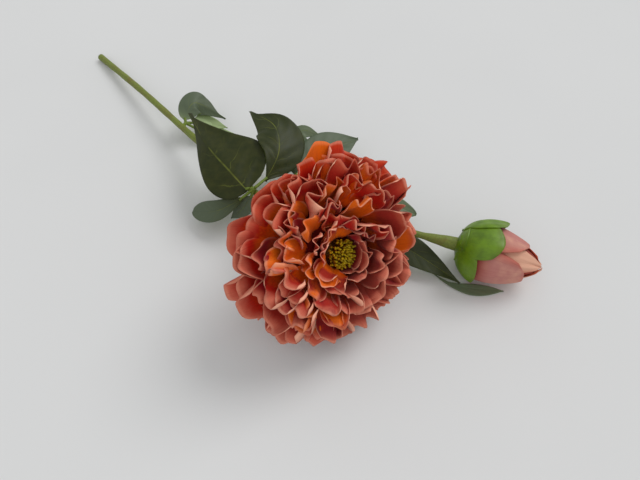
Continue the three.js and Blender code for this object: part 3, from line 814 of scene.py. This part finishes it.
def unevenness(azimuth):
    """How long the petals are on each side of the bloom, as a share of the even length."""
    return 1 + sum(grown * max(0, math.cos(azimuth - side)) ** 8 for side, grown in LONG_SIDES)


def whorl_petals(whorl, row, first, turn):
    """The petals of one whorl, numbered from first."""
    count, seat_r, seat_z, length, width, lean, opening, curl, wave, tip = row
    heart = HEART_LEAN if whorl >= HEART_FROM else 0
    heart += HEART_MORE if whorl > CALM_FROM else 0
    petals = []
    for i in range(first, first + count):
        place = i - first + turn + STRAY["azimuth"] * jitter(i, 1)
        azimuth = 2 * math.pi * place / count + WHORL_TURN * whorl
        petals.append(dict(
            index=i, whorl=whorl, azimuth=azimuth, seat_r=seat_r, seat_z=seat_z,
            length=length * (unevenness(azimuth) + STRAY["length"] * jitter(i, 2)),
            width=width * (1 + STRAY["width"] * jitter(i, 3)),
            lean=lean + STRAY["lean"] * jitter(i, 4) + heart * math.cos(azimuth - HEART_SIDE),
            opening=opening, curl=curl + STRAY["curl"] * jitter(i, 5),
            twist=math.radians(STRAY["twist"] * jitter(i, 6)), phase=2 * math.pi * draw(i, 7),
            cup=MEAN_CUP + STRAY["cup"] * jitter(i, 8), wave=wave, tip=tip,
        ))
    return petals


def heart_petal(n, i):
    """One of the small petals between the stamens and the side that the heart leans to."""
    place = n - (HEART_PETALS - 1) / 2 + 0.4 * jitter(i, 1)
    return dict(
        index=i, whorl=len(WHORLS), azimuth=HEART_SIDE + HEART_SPACING * place,
        seat_r=STAMEN_RADIUS + HEART_ROOM, seat_z=STAMEN_SEAT + HEART_RISE,
        length=19 + 3 * jitter(i, 2), width=17 + 3 * jitter(i, 3),
        lean=50 + 8 * jitter(i, 4), opening=-6, curl=20 * jitter(i, 5) - 15,
        twist=math.radians(30 * jitter(i, 6)), phase=2 * math.pi * draw(i, 7),
        cup=0.3, wave=1, tip=0.15,
    )


def filler_petals(w, first):
    """The narrower petals that stand between whorl w and the next one."""
    row = [(p + q) / 2 for p, q in zip(WHORLS[w], WHORLS[w + 1])]
    row[0] = WHORLS[w][0]
    row[3] *= FILLER_LENGTH
    row[4] *= FILLER_WIDTH
    petals = whorl_petals(w + 0.5, row, first, 0.25)
    return [p for p in petals if w < SPARSE_FROM or draw(p["index"], 31) > SPARSE]


def bloom_petals():
    """The petals of the solids, then the narrower ones between them and those at the heart."""
    petals = []
    for w, row in enumerate(WHORLS):
        petals += whorl_petals(w, row, len(petals) + 1, 0.5 * (w % 2))
    for w in range(FILLER_WHORLS):
        petals += filler_petals(w, len(petals) + 1)
    petals += [heart_petal(n, len(petals) + 1 + n) for n in range(HEART_PETALS)]
    return petals


def petal_spine(petal, roll):
    """Distance out, height and lean along the middle of a petal, which lands on the surface.

    roll is how far the last of it bends back, in degrees.
    """
    turn, base = BLOOM
    step = petal["length"] / SPINE_STEPS
    drop = float((turn @ (math.cos(petal["azimuth"]), math.sin(petal["azimuth"]), 0))[2])
    rise = float(turn[2, 2])
    reach, level = math.hypot(drop, rise), math.atan2(drop, rise)
    r, z, spine = petal["seat_r"], petal["seat_z"], []
    for k in range(SPINE_STEPS + 1):
        v = k / SPINE_STEPS
        bend = petal["opening"] * v + petal["curl"] * float(smooth((v - 0.55) / 0.45))
        bend += roll * float(smooth((v - 0.75) / 0.25))
        height = base[2] + r * drop + z * rise
        steepest = -min(1, max(0, (height - REST_LEVEL) / LANDING_HEIGHT))
        lowest = level + math.acos(min(1, max(-1, steepest / reach)))
        lean = min(math.radians(petal["lean"] + bend), lowest)
        spine.append((r, z, lean))
        r += step * math.sin(lean)
        z += step * math.cos(lean)
    return np.array(spine)


def rolled(u, angle):
    """The cross-section whose slope at each u is angle: its places across and above the middle."""
    mean = (angle[:, 1:] + angle[:, :-1]) / 2
    step = np.diff(u, axis=1)
    start = np.zeros((len(u), 1))
    middle = u.shape[1] // 2
    across = np.concatenate([start, np.cumsum(np.cos(mean) * step, axis=1)], axis=1)
    above = np.concatenate([start, np.cumsum(np.sin(mean) * step, axis=1)], axis=1)
    return across - across[:, middle : middle + 1], above - above[:, middle : middle + 1]


def petal_section(petal, u, v, ruffle, fold, curls):
    """How far the points of a petal lie across from its middle line and above it."""
    phase = petal["phase"]
    half = petal["width"] / 2 * (0.3 + 0.7 * np.sin(np.pi / 2 * np.minimum(1, v / 0.62)))
    narrowed = np.sqrt(1 - 0.45 * np.clip((v - 0.6) / 0.4, 0, 1) ** 2.5)
    curl = np.radians(np.where(u < 0, curls[0], curls[1]))
    curl = curl * smooth((np.abs(u) - 0.5) / 0.3) * smooth((v - 0.25) / 0.4)
    slope = 2 * petal["cup"] * np.abs(u) * (1 - 0.8 * v) + fold * v + curl
    across, above = rolled(u, np.sign(u) * slope)
    wave = petal["wave"] * v * v * np.sin(1.5 * np.pi * u + phase)
    ripple = ruffle * smooth((v - 0.4) / 0.6) * np.sin(1.8 * np.pi * u + 3 * phase)
    wave = wave + ripple * (0.5 + np.abs(u))
    return half * across * narrowed, half * above + wave


def petal_mid(petal, u, v, ruffle=0.0, notch=0.0, fold=0.0, roll=0.0, skew=0.0, curls=(0.0, 0.0)):
    """The mid surface of a petal of the bloom.

    The end can be ruffled, notched, folded along its middle, rolled back and turned aside.
    curls are how far the left and right edges roll in, in degrees.
    """
    cut = notch * smooth((v - 0.7) / 0.3) * (0.5 + 0.5 * np.sin(6 * u + 2 * petal["phase"]))
    along = v * (1 - petal["tip"] * np.abs(u) ** 3) - cut
    at = np.linspace(0, 1, SPINE_STEPS + 1)
    spine = petal_spine(petal, roll)
    r, z, lean = (np.interp(along, at, spine[:, k])[..., None] for k in range(3))
    out = np.array([math.cos(petal["azimuth"]), math.sin(petal["azimuth"]), 0])
    side = np.array([-out[1], out[0], 0])
    up = np.array([0, 0, 1])
    inner = -np.cos(lean) * out + np.sin(lean) * up
    x, lift = petal_section(petal, u, v, ruffle, fold, curls)
    turn = (petal["twist"] + skew) * v
    point = r * out + z * up
    point = point + (x * np.cos(turn) - lift * np.sin(turn))[..., None] * side
    point = point + (x * np.sin(turn) + lift * np.cos(turn))[..., None] * inner
    return pressed(placed(point, BLOOM))


def clear_of_stamens(mid, spare):
    """Pushes what leans in over the stamens back out to the edge of their room."""
    turn, base = BLOOM
    local = (mid - base) @ turn
    out = np.hypot(local[..., 0], local[..., 1])
    room = STAMEN_RADIUS + spare
    inside = (local[..., 2] > STAMEN_SEAT) & (out < room)
    scale = np.where(inside, room / np.maximum(out, 0.1), 1.0)
    local[..., :2] *= scale[..., None]
    return placed(local, BLOOM)


def facing(petal, side):
    """1 for a petal that stands at the azimuth side, down to 0 a quarter turn away."""
    return max(0, math.cos(petal["azimuth"] - side))


def petal_tone(petal):
    """0 for the orange-red petals at the top and 1 for the dusty salmon ones at the lower right."""
    turned = 0.5 + 0.5 * math.cos(petal["azimuth"] - SALMON_SIDE)
    return min(1, max(0, turned**1.5 + 0.3 * jitter(petal["index"], 13)))


def petal_stain(petal, tone, heart):
    """Low for petals with wine red painted shade and high for amber ones, which stand on the twisted
    side.
    """
    if petal["whorl"] < 1 and facing(petal, AMBER_SIDE) > AMBER_COSINE:
        return ALL_AMBER
    chance = (draw(petal["index"], 30) - 0.5) * (1 - 0.7 * tone)
    return 0.5 + chance + (0.15 + 0.45 * heart**4) * facing(petal, TWISTED_SIDE) * (1 - tone)


def petal_marks(petal):
    """The values that paint a petal: its tone, how pale its end is, and what makes it amber or gives it
    wine red painted shade.
    """
    tone, heart = petal_tone(petal), min(1, petal["whorl"] / 6)
    inward = float(smooth((heart - 0.15) / 0.45))
    pale = max(tone, inward, facing(petal, TWISTED_SIDE)) * (1 - 0.7 * facing(petal, RUFFLED_SIDE))
    stain = petal_stain(petal, tone, heart)
    return dict(lot=draw(petal["index"], 14), tone=tone, heart=heart, pale=pale, stain=stain)


def petal_curls(i, twisted, calm):
    """How far the left and right edges of petal i roll in: one of them is often rolled up."""
    rolls = draw(i, 18) < 0.1 + 0.7 * twisted
    strong = calm * between(STRONG_ROLL, draw(i, 19)) if rolls else PLAIN_ROLL * draw(i, 19)
    slight = SLIGHT_ROLL * jitter(i, 20)
    return (strong, slight) if draw(i, 21) > 0.3 + twisted else (slight, strong)


def petal_manner(petal):
    """How a petal differs from the even one: little in the outer whorls, much further in.

    On the side that the heart leans to, petals stand twisted, with one side rolled in.
    """
    i = petal["index"]
    inner = min(1, petal["whorl"] / 2)
    twisted = inner * facing(petal, TWISTED_SIDE) ** 0.5
    ruffled = inner * facing(petal, RUFFLED_SIDE) ** 0.5
    calm = CALM if petal["whorl"] > CALM_FROM else 1
    skew = SKEW * jitter(i, 17) + TWISTED_SKEW * calm * twisted * draw(i, 22)
    rolls = [between(ends, draw(i, 16)) for ends in (BACK_ROLL, RUFFLED_BACK_ROLL)]
    return dict(
        ruffle=0.3 + calm * (0.5 + 0.8 * draw(i, 11) + 1.8 * ruffled) * inner * petal["width"] / 25,
        notch=0.05 * draw(i, 12) * inner,
        fold=0.3 * jitter(i, 15) * inner,
        roll=between(rolls, ruffled) * inner,
        skew=math.radians(skew) * inner,
        curls=[c * (0.2 + 0.8 * inner) for c in petal_curls(i, twisted, calm)],
    )


def petal_grid():
    """A grid that is denser towards a petal's sides and its end, where it curls."""
    u, v = grid(*PETAL_GRID)
    return u * (1.35 - 0.35 * u**2), v * (1.25 - 0.25 * v)


def build_bloom():
    heap = Heap()
    for petal in bloom_petals():
        u, v = petal_grid()
        mid = petal_mid(petal, u, v, **petal_manner(petal))
        mid = clear_of_stamens(mid, HEART_ROOM if petal["whorl"] == len(WHORLS) else PETAL_ROOM)
        heap.add_blade(mid, u, v, PETAL_THICKNESS, **petal_marks(petal))
    # The core takes the dark root colour, painted shade for the gaps between petals.
    heap.add_turned(CORE_PROFILE, BLOOM, along=0.0, outer=1.0, lot=0.5, heart=1.0, stain=0.5)
    look = petal_look("bloom_petal_cloth", BLOOM_COLOURS, stained=True)
    make_piece(heap, "bloom_petals_fine", "bloom_petals", look)


def add_stamen(heap, n):
    """A bent filament with an anther on top."""
    reach = math.sqrt((n + 0.5) / STAMEN_COUNT)
    azimuth = n * GOLDEN_ANGLE + 0.2 * jitter(n, 42)
    foot_r, head_r = 0.55 * STAMEN_RADIUS * reach, (0.92 * STAMEN_RADIUS + 0.6) * reach
    top = STAMEN_TOP - 5 * reach**2 + 1.4 * jitter(n, 41) - 0.6
    aim = np.array([math.cos(azimuth), math.sin(azimuth), 0])
    t = np.linspace(0, 1, 6)[:, None]
    sway = 0.7 * np.sin(np.pi * t) * np.array([jitter(n, 43), jitter(n, 44), 0])
    foot = aim * foot_r + np.array([0, 0, STAMEN_SEAT + 2])
    head = aim * head_r + np.array([0, 0, top])
    path = placed(foot + (head - foot) * t + sway, BLOOM)
    heap.add_tube(path, FILAMENT_RADIUS, sides=6, lot=draw(n, 45), tone=0.0)
    lean = np.array([jitter(n, 46), jitter(n, 47), 0]) * 0.5 + aim * 0.3
    anther = head + (t - 0.35) * ANTHER_LENGTH * unit(lean + np.array([0, 0, 1]))
    radii = ANTHER_RADIUS * np.sqrt(np.clip(np.sin(np.pi * (0.06 + 0.88 * t[:, 0])), 0, 1))
    heap.add_tube(placed(anther, BLOOM), radii, sides=7, lot=draw(n, 45), tone=1.0)


def build_stamens():
    heap = Heap()
    for n in range(STAMEN_COUNT):
        add_stamen(heap, n)
    seat = STAMEN_SEAT + STAMEN_GAP
    dome = [(r, seat + height) for r, height in STAMEN_DOME]
    heap.add_turned(dome, BLOOM, sides=24, lot=0.5, tone=0.0)
    make_piece(heap, "bloom_stamens_fine", "bloom_stamens", stamen_look("stamen_plastic"))


def build_calyx():
    heap = Heap()
    for n in range(CALYX_SEPALS):
        sepal = dict(
            azimuth=2 * math.pi * (n + 0.15 * jitter(n, 31)) / CALYX_SEPALS, seat_r=6, seat_z=-2.5,
            length=22 + 4 * jitter(n, 32), width=20, lean=95, opening=10, curl=14, wave=0.4,
            twist=0, phase=n, cup=0.25, tip=0.3,
        )
        u, v = grid(*CALYX_SEPAL_GRID)
        heap.add_blade(petal_mid(sepal, u, v, ruffle=0.3), u, v, SEPAL_THICKNESS, lot=draw(n, 33))
    heap.add_turned(CALYX_KNOB, BLOOM, sides=32, lot=0.4)
    look = sepal_look("calyx_cloth", *CALYX_COLOURS)
    make_piece(heap, "bloom_calyx_fine", "bloom_calyx", look)


# ---- The stem and leaves ----


def add_stem(heap, points, radii, end_radius, seed):
    """A stem that goes from one radius to the other, and then widens to end_radius at its neck."""
    path = curve_points(points, 260)
    t = np.linspace(0, 1, len(path))
    knobs = KNOB_HEIGHT * np.sin(t * 61 + seed) * np.sin(t * 23 + 2 * seed)
    widening = (end_radius - radii[1]) * smooth((t - NECK_PLACE) / (1 - NECK_PLACE))
    heap.add_tube(path, between(radii, t) + widening + knobs, sides=20, lot=0.3 * seed)


def build_stem():
    heap = Heap()
    add_stem(heap, STEM_POINTS, STEM_RADIUS, STEM_RADIUS[1], 1)
    add_stem(heap, SHOOT_POINTS, SHOOT_RADIUS, SHOOT_END_RADIUS, 2)
    make_piece(heap, "stem_fine", "stem", stalk_look("stem_plastic", *STEM_COLOURS))


def leaflet_profile(v, widest, ends):
    """Half the width of one side of a leaflet, as a share of its widest."""
    stretch = math.log(0.5) / math.log(widest)
    swell = np.maximum(0, np.sin(np.pi * np.clip(v, 0, 1) ** stretch))
    return np.maximum(0.05, swell ** np.where(v < widest, ends[0], ends[1]))


def leaflet_lift(leaf, u, v, widest, half):
    """How far a leaflet rises above its midrib: raised sides, a waved edge and swollen panels."""
    tilt = np.tan(np.radians(np.where(u > 0, leaf["lifts"][1], leaf["lifts"][0])))
    wave = LEAF_WAVE * widest * np.sin(8 * v + 2 * (u > 0)) * u * u
    quilt = 0.25 * np.sin(44 * v - 9 * np.abs(u)) * np.abs(u) * (1 - np.abs(u)) * 4
    rib = -0.5 * np.exp(-((u / 0.05) ** 2))
    raised = half * np.abs(u) * tilt * (1 - 0.3 * np.abs(u))
    return raised + wave + quilt * half / 20 + rib * half / 24


def leaflet_mid(leaf, u, v):
    """The mid surface of a leaflet, never lower than its clearance over the surface."""
    line = curve_points(leaf["path"], 121)
    at = np.linspace(0, 1, 121)
    tangent = unit(np.gradient(line, axis=0))
    point, tangent = (
        np.stack([np.interp(v, at, a[:, k]) for k in range(3)], axis=-1) for a in (line, tangent)
    )
    side = unit(np.cross(tangent, unit(np.array(leaf["face"], float))))
    normal = np.cross(side, tangent)
    left, right = (leaflet_profile(v, *half) for half in zip(leaf["widest"], leaf["ends"]))
    widest = np.where(u > 0, leaf["halves"][1], leaf["halves"][0])
    half = widest * np.where(u > 0, right, left)
    lift = leaflet_lift(leaf, u, v, widest, half)
    mid = point + side * (half * u)[..., None] + normal * lift[..., None]
    mid[..., 2] = np.maximum(mid[..., 2], LEAF_CLEARANCE)
    return mid


def add_leaflet(heap, leaf, joint, lot):
    """A leaflet on its own short stalk from the joint."""
    u, v = grid(*LEAF_GRID)
    base, tip = leaf["tone"]
    tone = tip + (base - tip) * (1 - v) ** 3
    heap.add_blade(leaflet_mid(leaf, u, v), u, v, LEAF_THICKNESS, lot=lot, tone=tone)
    start, after = (np.array(p, float) for p in leaf["path"][:2])
    stalk = curve_points([joint, start + LEAFLET_STALK_REACH * (after - start)], 10)
    heap.add_tube(stalk, np.linspace(*LEAFLET_STALK_RADIUS, 10), **STALK_MARKS)


def build_leaves():
    look = leaf_look()
    for node, (hold, joint, leaflets) in LEAVES.items():
        heap = Heap()
        stalk = curve_points([hold, joint], 12)
        heap.add_tube(stalk, np.linspace(*LEAF_STALK_RADIUS, 12), **STALK_MARKS)
        for k, leaf in enumerate(leaflets):
            add_leaflet(heap, leaf, joint, draw(k, 51))
        make_piece(heap, node + "_fine", node, look)


# ---- The bud ----


def bud_radius(z):
    t = np.clip(z / BUD_LENGTH, 0.001, 0.999)
    return BUD_RADIUS * np.sin(np.pi * t**0.64) ** 0.58


def wrap_mid(wrap, u, v, ripple, phase):
    """The mid surface of a petal or sepal wrapped round the bud.

    It stands off the bud by close at its left edge and by free at its right one.
    """
    azimuth, spread, start, end, close, free, rounding = wrap
    z = start + (end - start) * v * (1 - rounding * u * u)
    width = np.radians(spread) * np.sin(np.pi / 2 * np.minimum(1, 0.25 + v / 0.5)) * (1 - 0.25 * v**3)
    angle = math.radians(azimuth) + width * u
    stand = close + (free - close) * (u + 1) / 2
    r = bud_radius(np.maximum(z, 1.5)) + stand * (0.4 + v)
    r = r + ripple * v**2 * np.sin(5 * u + phase) + 0.4 * ripple * np.sin(11 * u + 6 * v + phase) * v
    return pressed(placed(np.stack([r * np.cos(angle), r * np.sin(angle), z], axis=-1), BUD))


def build_bud():
    heap = Heap()
    for k, wrap in enumerate(BUD_PETALS):
        u, v = grid(*BUD_PETAL_GRID)
        mid = wrap_mid(wrap, u, v, BUD_PETAL_RIPPLE, 2.1 * k)
        lot = 0.4 if k < OUTER_BUD_PETALS else 1.0
        heap.add_blade(mid, u, v, BUD_PETAL_THICKNESS, lot=lot, tone=draw(k, 62), pale=draw(k, 62))
    heights = np.linspace(5, BUD_LENGTH - 7, 14)
    core = [(float(bud_radius(z)) - BUD_CORE_DEPTH, z) for z in heights]
    heap.add_turned([(0, 3.2)] + core + [(0, BUD_LENGTH - 3)], BUD, lot=0.5, along=0.2)
    look = petal_look("bud_petal_cloth", BUD_COLOURS, stained=False)
    make_piece(heap, "bud_petals_fine", "bud_petals", look)


def build_bud_sepals():
    heap = Heap()
    for k, (wrap, ripple) in enumerate(zip(BUD_SEPALS, SEPAL_RIPPLES)):
        u, v = grid(*BUD_SEPAL_GRID)
        v = 0.02 + 0.98 * v
        mid = wrap_mid(wrap, u, v, ripple, 1.7 * k)
        heap.add_blade(mid, u, v, SEPAL_THICKNESS, lot=draw(k, 71))
    brim = float(bud_radius(5)) + BUD_FOOT_STAND
    foot = [(0, -1), (4.2, -1), (7, 0), (10, 1), (brim, 5), (0, 2.6)]
    heap.add_turned(foot, BUD, sides=40, lot=0.5, along=0.1)
    look = sepal_look("bud_sepal_cloth", *BUD_SEPAL_COLOURS)
    make_piece(heap, "bud_sepals_fine", "bud_sepals", look)


# ---- Floor, light and camera ----


def build_floor():
    mesh = bpy.data.meshes.new("floor")
    half = FLOOR_HALF
    corners = [(-half, -half, 0), (half, -half, 0), (half, half, 0), (-half, half, 0)]
    mesh.from_pydata(corners, [], [(0, 1, 2, 3)])
    look = Look("floor_paper", 0.85, 0.1)
    look.colour(look.mix(look.noise(look.place(), 0.006, detail=2), *FLOOR_COLOURS))
    mesh.materials.append(look.material)
    floor = bpy.data.objects.new("floor", mesh)
    bpy.context.scene.collection.objects.link(floor)


def build_light():
    world = bpy.data.worlds.new("studio")
    world.use_nodes = True
    world.node_tree.nodes["Background"].inputs["Color"].default_value = (1, 1, 1, 1)
    world.node_tree.nodes["Background"].inputs["Strength"].default_value = WORLD_STRENGTH
    bpy.context.scene.world = world
    for name, towards, energy, angle in LAMPS:
        light = bpy.data.lights.new(name, "SUN")
        light.energy = energy
        light.angle = math.radians(angle)
        lamp = bpy.data.objects.new(name, light)
        lamp.rotation_euler = Vector(towards).to_track_quat("Z", "Y").to_euler()
        bpy.context.scene.collection.objects.link(lamp)


def build_camera():
    camera = bpy.data.cameras.new("camera")
    camera.sensor_width = SENSOR_WIDTH
    camera.lens = CAMERA_LENS
    holder = bpy.data.objects.new("camera", camera)
    holder.location = CAMERA_PLACE
    holder.rotation_euler = (math.radians(90 - CAMERA_PITCH), 0, 0)
    bpy.context.scene.collection.objects.link(holder)
    bpy.context.scene.camera = holder
    bpy.context.scene.view_settings.view_transform = "Standard"


build_camera()
build_light()
build_floor()
build_bloom()
build_stamens()
build_calyx()
build_stem()
build_leaves()
build_bud()
build_bud_sepals()
